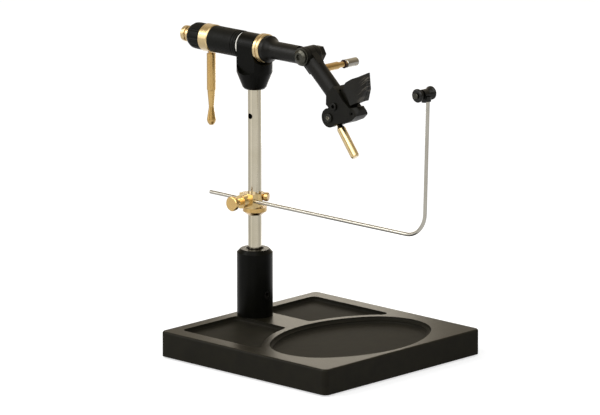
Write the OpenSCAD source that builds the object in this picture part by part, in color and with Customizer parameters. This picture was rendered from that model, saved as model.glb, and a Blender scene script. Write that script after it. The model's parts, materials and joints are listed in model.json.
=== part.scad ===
// Rotary fly tying vise on a weighted tray base, with a bent wire bobbin cradle.
// Origin: centre of the base plan at table level. +X runs along the rotary
// axis towards the jaws, +Z is up.

/* [Base] */
// Side of the square base casting
base_side = 158.75; // [150:0.25:180]
// Height of the base from the table to its top face
base_h = 19; // [17.5:0.5:26]
// Radius of the four upright corners
base_corner_r = 4.2; // [3:0.1:6]
// Radius of the rounded top edge
base_edge_r = 1.5; // [0.8:0.1:2.5]
// Thickness of the rubber sheet under the base
pad_t = 1; // [0.8:0.1:1.4]
// Depth of the two material compartments
bay_depth = 3.2; // [2:0.1:4.5]
// Distance between the ends of the oval well and the sides of the base
well_margin = 13.375; // [11.375:0.25:17.375]
// Width of the oval well as a share of its length
well_w_share = 0.697; // [0.655:0.001:0.705]
// Depth of the oval well
well_depth = 4.2; // [3:0.1:5.5]

/* [Stand] */
// Diameter of the socket post and of the yoke
post_d = 25.4; // [24:0.1:28]
// Height of the top of the socket post above the table
post_top = 67.2; // [60:0.2:74]
// Diameter of the ground stem
stem_d = 9.525; // [9:0.025:10]
// Distance between the middle of the stem and the rear side of the base
stem_edge = 15.875; // [14.875:0.125:17.375]
// Height of the rotary axis above the table
axis_z = 212.4; // [205:0.1:222]

/* [Rotary head] */
// Diameter of the rear sleeve that turns behind the yoke
sleeve_d = 19.05; // [18.6:0.05:20]
// Diameter of the spindle through the head
spindle_d = 9.525; // [9:0.025:10]
// Outside diameter of the two brass rings
ring_d = 20.6; // [20:0.1:21.4]
// Length of the crank handle below the rotary axis
crank_len = 62.4; // [55:0.2:70]
// Diameter of the straight part of the crank handle
crank_d = 6.5; // [6:0.1:7]
// Diameter of the shaft in front of the bell
shaft_d = 12.7; // [12:0.1:13.2]

/* [Arm and jaws] */
// Angle of the arm below the rotary axis, in degrees
arm_drop = 42; // [38:0.1:46]
// Angle of the jaws above level, in degrees
jaw_rise = 44; // [40:0.5:48]
// Diameter of the arm
arm_d = 12.2; // [11.6:0.1:12.6]
// Distance from the cam pin to the tip of the jaws
jaw_reach = 47.5; // [45:0.1:50]
// Length of the cam lever from the cam pin
lever_len = 32.6; // [29:0.1:36]
// Diameter of the cam lever
lever_d = 6.2; // [5.6:0.1:6.6]
// Length of the material clip post, from the middle of the arm
clip_len = 38.8; // [34:0.2:44]

/* [Bobbin cradle] */
// Diameter of the cradle wire
wire_d = 2.6; // [2.4:0.05:2.9]
// Height of the level leg of the wire
wire_z = 103.1; // [96:0.1:126]
// Length of the level leg in front of the stem
wire_reach = 167.5; // [155:0.1:180]
// Height of the cradle rollers above the table
roller_z = 203.6; // [190:0.2:212]
// Radius of the bend between the two legs
bend_r = 17.5; // [14:0.5:22]

/* [Hidden] */
$fn = 64;

// Overrun of every cut, play of a turning pair, play of a sliding pair, gap kept
// between faces that move on each other, end gap of a screw, and room left in a blind hole
cut = 0.5;
turn_play = 0.05;
slide_play = 0.03;
face_gap = 0.35;
screw_gap = 0.15;
blind_gap = 0.4;
joint_lap = 0.05;

module upright(x, y, z, d, h) translate([x, y, z]) cylinder(d = d, h = h);
module bar_x(x, y, z, d, l) translate([x, y, z]) rotate([0, 90, 0]) cylinder(d = d, h = l);
module bar_y(x, y, z, d, l) translate([x, y, z]) rotate([-90, 0, 0]) cylinder(d = d, h = l);
// Bevelled round piece standing on z = 0
module puck(d, h, b) {
    translate([0, 0, b]) cylinder(d = d, h = h - 2 * b);
    cylinder(d1 = d - 2 * b, d2 = d, h = b);
    translate([0, 0, h - b]) cylinder(d1 = d, d2 = d - 2 * b, h = b);
}
module hex_cut(af, h) cylinder(d = af / cos(30), h = h, $fn = 6);

// Base casting, its rubber sheet and the bolt of the post
half_side = base_side / 2;
base_low = pad_t;
pad_inset = 3;
bay_inset = 9.4;
bay_margin = 11.875;
bay_out = half_side - bay_margin;
bay_in = 12;
bay_r = 4;
well_edge = 4.375;
well_end_share = 0.5455;
well_half_len = half_side - well_margin;
well_half_w = well_half_len * well_w_share;
well_end_r = well_half_len * well_end_share;
well_x = half_side - well_edge - well_half_w;
well_lip = 2.4;
well_lip_depth = 2.2;
well_fn = 128;
web = 4.8;
well_side_r = (pow(well_half_w, 2) + pow(well_half_len - well_end_r, 2) - pow(well_end_r, 2))
    / (2 * (well_half_w - well_end_r));
well_share = (well_half_len - well_end_r) / (well_side_r - well_end_r);
bolt_d = 8;
bolt_head_d = 13;
bolt_head_h = 8;
bolt_seat_z = 10.5;
bolt_reach = 15.5;
bolt_hex = 6;
bolt_hex_share = 0.6;
bolt_play = 0.4;
bolt_room = 1;
bolt_well_d = bolt_head_d + bolt_room;
sx = stem_edge - half_side;

module round_square(half, r, h) {
    linear_extrude(height = h) union() {
        square([2 * half, 2 * (half - r)], center = true);
        square([2 * (half - r), 2 * half], center = true);
        for (a = [-1, 1], b = [-1, 1]) translate([a * (half - r), b * (half - r)]) circle(r = r);
    }
}

// Oval of four arcs, grown evenly by g
module oval(g) {
    reach = well_half_len - well_end_r;
    for (b = [-1, 1]) translate([0, b * reach]) circle(r = well_end_r + g);
    intersection() {
        translate([well_half_w - well_side_r, 0]) circle(r = well_side_r + g, $fn = well_fn);
        translate([well_side_r - well_half_w, 0]) circle(r = well_side_r + g, $fn = well_fn);
        square([2 * well_half_len, 2 * (reach + (well_end_r + g) * well_share)], center = true);
    }
}

// Material compartment on the +Y side, with its two corners at the oval rounded
module bay() {
    rear = -half_side + bay_inset;
    reach = well_half_len - well_end_r;
    tip_y = bay_out - bay_r;
    tip_r = well_end_r + web + bay_r;
    tip_x = well_x - sqrt(pow(tip_r, 2) - pow(tip_y - reach, 2));
    in_y = bay_in + bay_r;
    in_r = well_side_r + web + bay_r;
    in_c = well_x + well_side_r - well_half_w;
    in_x = in_c - sqrt(pow(in_r, 2) - pow(in_y, 2));
    tip_k = (well_end_r + web) / tip_r;
    in_k = (well_side_r + web) / in_r;
    difference() {
        union() {
            translate([rear + bay_r, bay_in]) square([well_x - rear - bay_r, bay_out - bay_in]);
            translate([rear, bay_in + bay_r]) square([bay_r * 2, bay_out - bay_in - 2 * bay_r]);
            for (y = [bay_in + bay_r, bay_out - bay_r]) translate([rear + bay_r, y]) circle(r = bay_r);
        }
        translate([well_x, 0]) oval(web);
        polygon([[tip_x, bay_out + cut], [well_x + cut, bay_out + cut],
            [well_x + cut, reach + (tip_y - reach) * tip_k],
            [well_x + (tip_x - well_x) * tip_k, reach + (tip_y - reach) * tip_k], [tip_x, tip_y]]);
        polygon([[in_x, bay_in - cut], [well_x, bay_in - cut], [well_x, in_y * in_k],
            [in_c + (in_x - in_c) * in_k, in_y * in_k], [in_x, in_y]]);
    }
    translate([tip_x, tip_y]) circle(r = bay_r);
    translate([in_x, in_y]) circle(r = bay_r);
}

module base_tray() color("#2b2824") {
    edge_z = base_h - base_edge_r;
    run = half_side - base_corner_r;
    difference() {
        union() {
            translate([0, 0, base_low]) round_square(half_side, base_corner_r, edge_z - base_low);
            translate([0, 0, base_low]) round_square(half_side - base_edge_r,
                base_corner_r - base_edge_r, base_h - base_low);
            for (a = [-1, 1]) {
                bar_x(-run, a * (half_side - base_edge_r), edge_z, 2 * base_edge_r, 2 * run);
                bar_y(a * (half_side - base_edge_r), -run, edge_z, 2 * base_edge_r, 2 * run);
            }
            for (a = [-1, 1], b = [-1, 1]) translate([a * run, b * run, edge_z])
                rotate_extrude() intersection() {
                    translate([base_corner_r - base_edge_r, 0]) circle(r = base_edge_r);
                    translate([0, -base_edge_r]) square([base_corner_r, 2 * base_edge_r]);
                }
        }
        for (b = [0, 1]) mirror([0, b, 0]) translate([0, 0, base_h - bay_depth])
            linear_extrude(height = bay_depth + cut) bay();
        translate([well_x, 0, base_h - well_lip_depth])
            linear_extrude(height = well_depth) oval(0);
        translate([well_x, 0, base_h - well_depth])
            linear_extrude(height = well_depth + cut) oval(-well_lip);
        upright(sx, 0, base_low - cut, bolt_well_d, bolt_seat_z - base_low + cut);
        upright(sx, 0, base_low, bolt_d + bolt_play, base_h);
    }
}

module base_pad() color("#1c1c1c") {
    difference() {
        round_square(half_side - pad_inset, base_corner_r, pad_t);
        upright(sx, 0, -cut, bolt_well_d, pad_t + 2 * cut);
    }
}

module base_bolt() color("#1a1a1a") {
    difference() {
        union() {
            upright(sx, 0, bolt_seat_z - bolt_head_h, bolt_head_d, bolt_head_h);
            upright(sx, 0, bolt_seat_z, bolt_d, bolt_reach);
        }
        translate([sx, 0, bolt_seat_z - bolt_head_h - cut]) hex_cut(bolt_hex, bolt_head_h * bolt_hex_share);
    }
}

// Socket post and stem
post_r = post_d / 2;
post_top_r = 10.3;
post_chamfer = 2.6;
post_mouth = 1.4;
post_mouth_w = 1.8;
stem_r = stem_d / 2;
stem_low = 28.2;
stem_short = 15;
stem_top = axis_z - stem_short;
stem_foot_gap = 0.3;
stem_hole_d = 4;
stem_hole_drop = 49.4;
stem_hole_z = axis_z - stem_hole_drop;
stem_chamfer = 0.8;
set_d = 6;
set_hex = 3;
set_len = 7;
set_z = 35.4;
set_hex_depth = 2.6;
set_start = stem_r + screw_gap;

module socket_post() color("#1b1b1c") {
    difference() {
        union() {
            upright(sx, 0, base_h, post_d, post_top - post_chamfer - base_h);
            translate([sx, 0, post_top - post_chamfer])
                cylinder(r1 = post_r, r2 = post_top_r, h = post_chamfer);
        }
        upright(sx, 0, stem_low - stem_foot_gap, stem_d + 2 * slide_play, post_top);
        translate([sx, 0, post_top - post_mouth])
            cylinder(r1 = stem_r, r2 = stem_r + post_mouth_w + cut, h = post_mouth + cut);
        upright(sx, 0, base_h - cut, bolt_d, bolt_seat_z + bolt_reach + blind_gap - base_h + cut);
        bar_x(sx, 0, set_z, set_d, post_r + cut);
    }
}

module post_set_screw() color("#111111") {
    difference() {
        bar_x(sx + set_start, 0, set_z, set_d, set_len);
        translate([sx + set_start + set_len - set_hex_depth, 0, set_z])
            rotate([0, 90, 0]) hex_cut(set_hex, set_len);
    }
}

module stem() color("#b9b5a8") {
    difference() {
        union() {
            upright(sx, 0, stem_low + stem_chamfer, stem_d, stem_top - stem_low - 2 * stem_chamfer);
            translate([sx, 0, stem_low])
                cylinder(r1 = stem_r - stem_chamfer, r2 = stem_r, h = stem_chamfer);
            translate([sx, 0, stem_top - stem_chamfer])
                cylinder(r1 = stem_r, r2 = stem_r - stem_chamfer, h = stem_chamfer);
        }
        bar_y(sx, -stem_r - cut, stem_hole_z, stem_hole_d, stem_d + 2 * cut);
    }
}

// Stop collar of the cradle clamp
collar_drop = 11.2;
collar_z = wire_z - collar_drop;
collar_d = 17.2;
collar_h = 5.4;
collar_bevel_w = 3;
collar_bevel_h = 2.5;
collar_set_d = 2.5;
collar_set_hex = 1.3;
collar_set_share = 0.72;
collar_set_sink = 0.3;
collar_hex_depth = 1.4;

// Cradle clamp: a block beside the stem, a round boss for the thumb screw and a ring
wire_r = wire_d / 2;
wire_y = -6.5;
block_low = collar_z + collar_h + face_gap;
block_rise = 4.8;
block_top = wire_z + block_rise;
block_half = 6.4;
block_near = 8.8;
block_far = 3;
boss_d = 9.6;
boss_near = 14.7;
hub_drop = 0.7;
hub_low = wire_z - hub_drop;
hub_h = 5;
hub_ring_d = 13.8;
neck_d = 12.2;
neck_h = 2;
lock_turn = 27;
lock_d = 4;
lock_head_d = 6.4;
lock_head_t = 3.2;
lock_bevel = 0.5;
lock_slot_w = 1;
lock_slot_depth = 0.8;
lock_start = hub_ring_d / 2 + screw_gap;
thumb_d = 5;
thumb_head_d = 10.6;
thumb_head_t = 3.2;
thumb_bevel = 0.6;
thumb_y = 24.1;
thumb_tip = wire_r + screw_gap - wire_y;

module stop_collar() color("#c9a24a") {
    difference() {
        union() {
            translate([sx, 0, collar_z])
                cylinder(d1 = collar_d - 2 * collar_bevel_w, d2 = collar_d, h = collar_bevel_h);
            upright(sx, 0, collar_z + collar_bevel_h, collar_d, collar_h - collar_bevel_h);
        }
        upright(sx, 0, collar_z - cut, stem_d + 2 * slide_play, collar_h + 2 * cut);
        bar_y(sx, 0, collar_z + collar_h * collar_set_share, collar_set_d, collar_d);
    }
}

module collar_set_screw() color("#2a2a2a") {
    end = collar_d / 2 - collar_set_sink;
    translate([sx, 0, collar_z + collar_h * collar_set_share]) difference() {
        bar_y(0, set_start, 0, collar_set_d, end - set_start);
        translate([0, end - collar_hex_depth, 0]) rotate([-90, 0, 0]) hex_cut(collar_set_hex, collar_d);
    }
}

module clamp_body() color("#c9a24a") {
    difference() {
        union() {
            upright(sx, 0, hub_low, hub_ring_d, hub_h);
            upright(sx, 0, block_low, neck_d, neck_h);
            translate([sx - block_half, -block_near, block_low])
                cube([2 * block_half, block_near - block_far, block_top - block_low]);
            bar_y(sx, -boss_near, wire_z, boss_d, boss_near - block_far);
        }
        upright(sx, 0, block_low - cut, stem_d + 2 * slide_play, block_top - block_low + 2 * cut);
        bar_x(sx - block_half - cut, wire_y, wire_z, wire_d + 2 * slide_play, 2 * (block_half + cut));
        bar_y(sx, -boss_near - cut, wire_z, thumb_d + 2 * turn_play, boss_near + cut + wire_y);
        translate([sx, 0, hub_low + hub_h / 2]) rotate([0, 0, lock_turn])
            bar_x(0, 0, 0, lock_d, hub_ring_d);
    }
}

module clamp_lock_screw() color("#c9a24a") {
    translate([sx, 0, hub_low + hub_h / 2]) rotate([0, 0, lock_turn]) difference() {
        union() {
            bar_x(set_start, 0, 0, lock_d, lock_start - set_start + lock_bevel);
            translate([lock_start, 0, 0]) rotate([0, 90, 0]) puck(lock_head_d, lock_head_t, lock_bevel);
        }
        translate([lock_start + lock_head_t - lock_slot_depth, -lock_slot_w / 2, -lock_head_d])
            cube([lock_head_t, lock_slot_w, 2 * lock_head_d]);
    }
}

module clamp_thumb_screw() color("#c9a24a") {
    translate([sx, 0, wire_z]) rotate([90, 0, 0]) {
        upright(0, 0, thumb_tip, thumb_d, thumb_y - thumb_head_t - thumb_tip + thumb_bevel);
        translate([0, 0, thumb_y - thumb_head_t]) puck(thumb_head_d, thumb_head_t, thumb_bevel);
    }
}

// Bent wire: a level leg, one bend and a leaning upright leg
wire_tail = 37.5;
wire_lean = 1.6;
wire_end_share = 0.7;
wire_end = 0.52;
bend_turn = 90 - wire_lean;
bend_x = sx + wire_reach - bend_r;
up_x = bend_x + bend_r * sin(bend_turn);
up_z = wire_z + bend_r * (1 - cos(bend_turn));

// Hub of the rollers, set back from the wire
hub_d = 4.4;
hub_shift = 3.6;
hub_stub_d = 3.6;
hub_stub_low = 5.6;
hub_stub_h = 5;
hub_web_low = 4.4;
hub_web_h = 3.4;
hub_web_w = 4.2;
wire_seat = 1.6;
wire_top = roller_z - wire_seat;
up_len = (wire_top - up_z) / sin(bend_turn);
wire_at_hub = up_x + (roller_z - up_z) * cos(bend_turn) / sin(bend_turn);
head_x = wire_at_hub - hub_shift;

// Coned rollers
roller_d = 9.4;
roller_out = 8;
roller_rim = 2.7;
roller_bevel = 0.8;
roller_neck_d = 5;
roller_back_d = 8.2;
axle_d = 2.4;
axle_cap_d = 4.2;
axle_cap_t = 0.9;
axle_cap_bevel = 0.3;
axle_half = roller_out + face_gap;

module cradle_wire() color("#b4b2aa") {
    tail = sx - wire_tail;
    translate([tail, wire_y, wire_z]) rotate([0, 90, 0])
        cylinder(r1 = wire_r * wire_end_share, r2 = wire_r, h = wire_end);
    bar_x(tail + wire_end, wire_y, wire_z, wire_d, bend_x - tail - wire_end + joint_lap);
    translate([bend_x, wire_y, wire_z + bend_r]) rotate([90, 0, 0])
        rotate([0, 0, -90]) rotate_extrude(angle = bend_turn) translate([bend_r, 0]) circle(r = wire_r);
    translate([up_x, wire_y, up_z]) rotate([0, wire_lean, 0])
        translate([0, 0, -joint_lap]) cylinder(d = wire_d, h = up_len + joint_lap);
}

module cradle_hub() color("#161616") {
    difference() {
        union() {
            upright(head_x, wire_y, roller_z - hub_stub_low, hub_stub_d, hub_stub_h);
            upright(wire_at_hub, wire_y, roller_z - hub_web_low, hub_web_w, hub_web_h);
            translate([head_x, wire_y - hub_web_w / 2, roller_z - hub_web_low])
                cube([hub_shift, hub_web_w, hub_web_h]);
            bar_y(head_x, wire_y - hub_d / 2, roller_z, roller_neck_d + hub_web_w / 2, hub_d);
        }
        translate([up_x, wire_y, up_z]) rotate([0, wire_lean, 0]) cylinder(d = wire_d, h = up_len);
        bar_y(head_x, wire_y - hub_d, roller_z, axle_d, 2 * hub_d);
    }
}

module cradle_axle() color("#3a3a3a") {
    bar_y(head_x, wire_y - axle_half - joint_lap, roller_z, axle_d, 2 * (axle_half + joint_lap));
    for (b = [0, 1]) translate([head_x, wire_y, roller_z]) mirror([0, b, 0]) rotate([-90, 0, 0])
        translate([0, 0, axle_half]) puck(axle_cap_d, axle_cap_t, axle_cap_bevel);
}

// One coned roller, drawn on the +Y side of the hub
module roller() {
    inner = hub_d / 2 + face_gap;
    rim = roller_out - roller_rim;
    translate([head_x, wire_y, roller_z]) rotate([-90, 0, 0]) difference() {
        union() {
            translate([0, 0, inner]) cylinder(d1 = roller_neck_d, d2 = roller_back_d, h = rim - inner);
            translate([0, 0, rim]) puck(roller_d, roller_rim, roller_bevel);
        }
        translate([0, 0, inner - cut]) cylinder(d = axle_d + 2 * turn_play, h = roller_out);
    }
}
module roller_far() color("#141414") roller();
module roller_near() color("#141414")
    translate([0, 2 * wire_y, 0]) mirror([0, 1, 0]) roller();

// Yoke on top of the stem
yoke_drop = 30;
yoke_lip_h = 1.4;
yoke_body_drop = 17.9;
yoke_low = axis_z - yoke_drop;
yoke_cone_z = yoke_low + yoke_lip_h;
yoke_body_z = axis_z - yoke_body_drop;
yoke_low_r = 7.2;
yoke_cone_r = 8.5;
yoke_half_w = 9.3;
yoke_back = 9;
yoke_front = 6.7;
yoke_side_shift = 1.5;
yoke_side_r = 10.5;
yoke_side_drop = 8.1;
yoke_side_z = axis_z - yoke_side_drop;
yoke_ledge = 12.7;
yoke_cut_r = 10.5;
yoke_rear_cut_r = 6;
yoke_set_rise = 5.6;
yoke_set_d = 5;
yoke_set_len = 4.6;
yoke_set_hex = 2.5;
yoke_set_sink = 2.4;
bush_d = 12.7;
bush_len = 6;
washer_t = 1.5;
washer_d = 17.4;
yoke_ledge_z = axis_z - yoke_ledge;
yoke_set_z = yoke_cone_z + yoke_set_rise;
yoke_rear_x = sx - yoke_back;
yoke_front_x = sx + yoke_front;
washer_x = yoke_rear_x - washer_t;

// Front ring with its groove
ring_t = 5.6;
ring_bevel = 0.8;
ring_groove_w = 0.7;
ring_groove_depth = 0.5;
ring_groove_share = 0.54;
ring_x = yoke_front_x + ring_t;

module yoke() color("#1a1a1b") {
    front_z = yoke_ledge_z + yoke_cut_r;
    rear_z = yoke_ledge_z + yoke_rear_cut_r;
    difference() {
        union() {
            translate([sx, 0, yoke_low])
                cylinder(r1 = yoke_low_r, r2 = yoke_cone_r, h = yoke_cone_z - yoke_low);
            translate([sx, 0, yoke_cone_z])
                cylinder(r1 = yoke_cone_r, r2 = post_r, h = yoke_body_z - yoke_cone_z);
            upright(sx, 0, yoke_body_z, post_d, axis_z - yoke_body_z);
            intersection() {
                upright(sx, 0, axis_z - yoke_half_w, post_d, 2 * yoke_half_w + cut);
                bar_x(sx - post_r, 0, axis_z, 2 * yoke_half_w, post_d);
            }
        }
        // Side flats with a round foot
        for (b = [0, 1]) mirror([0, b, 0]) {
            translate([sx - post_d, yoke_half_w, yoke_side_z]) cube([2 * post_d, post_d, post_d]);
            bar_y(sx + yoke_side_shift, yoke_half_w, yoke_side_z, 2 * yoke_side_r, post_d);
        }
        // Front face with its hollow foot, and the room of the front ring
        translate([sx + yoke_front, -post_d, front_z]) cube([post_d, 2 * post_d, post_d]);
        bar_y(sx + yoke_front + yoke_cut_r, -post_d, front_z, 2 * yoke_cut_r, 2 * post_d);
        bar_x(sx + yoke_front, 0, axis_z, ring_d + 2 * face_gap, post_d);
        // Rear face with its hollow foot, and the room of the washer
        translate([sx - yoke_back - post_d, -post_d, rear_z]) cube([post_d, 2 * post_d, post_d]);
        bar_y(sx - yoke_back - yoke_rear_cut_r, -post_d, rear_z, 2 * yoke_rear_cut_r, 2 * post_d);
        bar_x(sx - yoke_back - post_d, 0, axis_z, sleeve_d + 2 * face_gap, post_d);
        upright(sx, 0, yoke_low - cut, stem_d + 2 * slide_play, stem_top + blind_gap - yoke_low + cut);
        bar_x(sx - post_r, 0, axis_z, bush_d, post_d);
        bar_y(sx, 0, yoke_set_z, yoke_set_d, post_r + cut);
    }
}

module yoke_set_screw() color("#101010") {
    difference() {
        bar_y(sx, set_start, yoke_set_z, yoke_set_d, yoke_set_len);
        translate([sx, set_start + yoke_set_sink, yoke_set_z]) rotate([-90, 0, 0])
            hex_cut(yoke_set_hex, yoke_set_len);
    }
}

module yoke_bushes() color("#a8823c") {
    for (x = [yoke_rear_x, yoke_front_x - bush_len]) difference() {
        bar_x(x, 0, axis_z, bush_d, bush_len);
        bar_x(x - cut, 0, axis_z, spindle_d + 2 * turn_play, bush_len + 2 * cut);
    }
}

module nylon_washer() color("#eeeeea") {
    difference() {
        bar_x(washer_x, 0, axis_z, washer_d, washer_t);
        bar_x(washer_x - cut, 0, axis_z, spindle_d + 2 * turn_play, washer_t + 2 * cut);
    }
}

module front_ring() color("#c9a24a") {
    difference() {
        translate([yoke_front_x, 0, axis_z]) rotate([0, 90, 0]) puck(ring_d, ring_t, ring_bevel);
        bar_x(yoke_front_x - cut, 0, axis_z, spindle_d + 2 * turn_play, ring_t + 2 * cut);
        difference() {
            bar_x(yoke_front_x + ring_t * ring_groove_share, 0, axis_z, ring_d + cut, ring_groove_w);
            bar_x(yoke_front_x, 0, axis_z, ring_d - 2 * ring_groove_depth, ring_t);
        }
    }
}

// Spindle, rear sleeve and crank
sleeve_len = 27;
sleeve_lip = 0.5;
sleeve_groove_w = 0.6;
sleeve_groove_depth = 0.35;
sleeve_groove_step = 2.2;
sleeve_set_d = 4;
sleeve_set_len = 4.2;
sleeve_set_sink = 2.4;
sleeve_set_hex = 2;
sleeve_set_share = 0.4;
crank_ring_len = 8.9;
crank_ring_less = 0.6;
crank_pin_d = 4;
crank_neck_d = 3.8;
crank_bulb_d = 6.6;
crank_taper_h = 11.9;
crank_collar_h = 1;
crank_bulb_h = 8.8;
crank_crown_h = 1.9;
crank_end_h = 1.7;
crank_crown_share = 0.86;
crank_end_share = 0.5;
crank_bevel = 0.3;
crank_step = 0.3;
cap_len = 13.2;
cap_d = 19;
cap_dome_h = 6;
cap_dome_shares = [[0, 0.33], [0.2, 0.42], [0.6, 0.485], [1, 0.5]];
cap_wall = 2.5;
cap_bore_share = 0.55;
cap_flutes = 10;
cap_flute_r = 1.5;
cap_flute_share = 0.55;
cap_flute_start = 3;
knob_d = 11.4;
knob_len = 8;
knob_front_h = 3.4;
knob_waist_h = 1.2;
knob_waist_less = 2.6;
knob_bevel = 0.6;
knob_reach = 0.4;
knob_wall = 0.8;
thread_d = 6.35;
thread_in = 0.8;
spindle_nose = 24;
spindle_step = 3;
sleeve_x = washer_x - face_gap - sleeve_len;
crank_x = sleeve_x - crank_ring_len;
cap_x = crank_x - cap_len;
nose_x = ring_x + face_gap;
spindle_r = spindle_d / 2;
spindle_back = cap_x - knob_len + knob_wall + thread_in;
spindle_front = nose_x + spindle_nose;
crank_mid = crank_x + crank_ring_len / 2;
sleeve_set_x = sleeve_x + sleeve_len * sleeve_set_share;
cap_bore = cap_len * cap_bore_share;

module spindle() color("#8f8f8c") {
    bar_x(spindle_back, 0, axis_z, thread_d, crank_x - spindle_back + cut);
    bar_x(crank_x - spindle_step, 0, axis_z, spindle_d, spindle_front - crank_x + spindle_step);
}

module rear_sleeve() color("#1b1c1c") {
    end = sleeve_x + sleeve_len;
    difference() {
        union() {
            bar_x(sleeve_x, 0, axis_z, sleeve_d, sleeve_len - sleeve_lip);
            translate([end - sleeve_lip, 0, axis_z]) rotate([0, 90, 0])
                cylinder(d1 = sleeve_d, d2 = sleeve_d - 2 * sleeve_lip, h = sleeve_lip);
        }
        bar_x(sleeve_x - cut, 0, axis_z, spindle_d, sleeve_len + 2 * cut);
        for (k = [1, 2]) difference() {
            bar_x(end - sleeve_groove_step * k, 0, axis_z, sleeve_d + cut, sleeve_groove_w);
            bar_x(end - sleeve_groove_step * k - cut, 0, axis_z,
                sleeve_d - 2 * sleeve_groove_depth, sleeve_groove_w + 2 * cut);
        }
        bar_y(sleeve_set_x, 0, axis_z, sleeve_set_d, sleeve_d);
    }
}

module sleeve_set_screw() color("#101010") {
    difference() {
        bar_y(sleeve_set_x, spindle_r + screw_gap, axis_z, sleeve_set_d, sleeve_set_len);
        translate([sleeve_set_x, spindle_r + sleeve_set_sink, axis_z]) rotate([-90, 0, 0])
            hex_cut(sleeve_set_hex, sleeve_set_len);
    }
}

module crank_ring() color("#c9a24a") {
    difference() {
        translate([crank_x, 0, axis_z]) rotate([0, 90, 0])
            puck(ring_d - crank_ring_less, crank_ring_len, ring_bevel);
        bar_x(crank_x - cut, 0, axis_z, spindle_d, crank_ring_len + 2 * cut);
        upright(crank_mid, 0, axis_z - ring_d, crank_pin_d, ring_d);
    }
}

// Turned handle hanging from the ring, measured down from the rotary axis
module crank_handle() color("#c9a24a") {
    top = ring_d / 2 + cut;
    end = crank_len - crank_end_h;
    crown = end - crank_crown_h;
    waist = crown - crank_bulb_h;
    taper = waist - crank_collar_h - crank_taper_h;
    translate([crank_mid, 0, axis_z]) rotate([180, 0, 0]) {
        upright(0, 0, spindle_r + screw_gap, crank_pin_d, top - spindle_r);
        translate([0, 0, top]) puck(crank_d, taper - top + crank_bevel, crank_bevel);
        translate([0, 0, taper])
            cylinder(d1 = crank_d - 2 * crank_step, d2 = crank_neck_d, h = crank_taper_h);
        upright(0, 0, waist - crank_collar_h - joint_lap, crank_neck_d, crank_collar_h + 2 * joint_lap);
        translate([0, 0, waist]) cylinder(d1 = crank_neck_d, d2 = crank_bulb_d, h = crank_bulb_h);
        translate([0, 0, crown])
            cylinder(d1 = crank_bulb_d, d2 = crank_bulb_d * crank_crown_share, h = crank_crown_h);
        translate([0, 0, end]) cylinder(d1 = crank_bulb_d * crank_crown_share,
            d2 = crank_bulb_d * crank_end_share, h = crank_end_h);
    }
}

module drag_cap() color("#17171a") {
    difference() {
        translate([cap_x, 0, axis_z]) rotate([0, 90, 0]) {
            for (k = [0, 1, 2]) translate([0, 0, cap_dome_h * cap_dome_shares[k][0]])
                cylinder(r1 = cap_d * cap_dome_shares[k][1], r2 = cap_d * cap_dome_shares[k + 1][1],
                    h = cap_dome_h * (cap_dome_shares[k + 1][0] - cap_dome_shares[k][0]));
            translate([0, 0, cap_dome_h]) cylinder(d = cap_d, h = cap_len - cap_dome_h - face_gap);
        }
        bar_x(cap_x - cut, 0, axis_z, thread_d + 2 * turn_play, cap_len);
        bar_x(crank_x - cap_bore, 0, axis_z, cap_d - 2 * cap_wall, cap_bore + cut);
        for (k = [1 : cap_flutes]) translate([cap_x + cap_flute_start, 0, axis_z])
            rotate([360 * (k + 0.5) / cap_flutes, 0, 0])
                bar_x(0, 0, cap_d / 2 + cap_flute_r * cap_flute_share, 2 * cap_flute_r, cap_len);
    }
}

// Pair of cone springs between the crank ring and the cap
spring_bore = 9.9;
spring_small_d = 10.6;
spring_big_d = 12.8;
spring_h = 2;
spring_step = 2.3;
spring_gap = 0.2;

module drag_springs() color("#9a9a96") {
    for (b = [0, 1]) translate([crank_x - spring_h - spring_gap - b * spring_step, 0, axis_z])
        rotate([0, 90, 0]) difference() {
            cylinder(d1 = b == 0 ? spring_big_d : spring_small_d,
                d2 = b == 0 ? spring_small_d : spring_big_d, h = spring_h);
            translate([0, 0, -cut]) cylinder(d = spring_bore, h = spring_h + 2 * cut);
        }
}

module drag_knob() color("#c9a24a") {
    start = cap_x - face_gap - knob_len + knob_reach;
    rear = knob_front_h + knob_waist_h;
    difference() {
        union() {
            translate([start, 0, axis_z]) rotate([0, 90, 0]) puck(knob_d, knob_front_h, knob_bevel);
            bar_x(start + knob_front_h - joint_lap, 0, axis_z, knob_d - knob_waist_less,
                knob_waist_h + 2 * joint_lap);
            translate([start + rear, 0, axis_z]) rotate([0, 90, 0])
                puck(knob_d, knob_len - knob_reach - rear, knob_bevel);
        }
        bar_x(start + knob_wall, 0, axis_z, thread_d + 2 * turn_play, knob_len);
    }
}

// Bell and shaft in front, with the fork of the knuckle
nose_d = 20;
nose_len = 9.2;
nose_rim = 1.8;
shaft_r = shaft_d / 2;
pivot_reach = 51.6;
pivot_x = sx + pivot_reach;
pivot_rise = 0.8;
pivot_z = axis_z + pivot_rise;
cheek_r = 6.6;
cheek_proud = 0.1;
cheek_half = shaft_r + cheek_proud;
shaft_short = 3.6;
slot_w = 6.4;
slot_back = 1.6;
pin_d = 6;
knuckle_head_d = 10.4;
knuckle_head_rim = 1.1;
knuckle_head_h = 2.4;
knuckle_head_share = 0.66;
knuckle_hex = 4;
knuckle_washer_d = 12.6;
knuckle_washer_t = 1;
nut_af = 10;
nut_h = 5;
nut_show = 1;

module at_pivot() translate([pivot_x, 0, pivot_z]) rotate([0, arm_drop, 0]) children();
module at_cam() at_pivot() translate([cam_s, 0, cam_n]) rotate([0, -jaw_rise - arm_drop, 0]) children();

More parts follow.
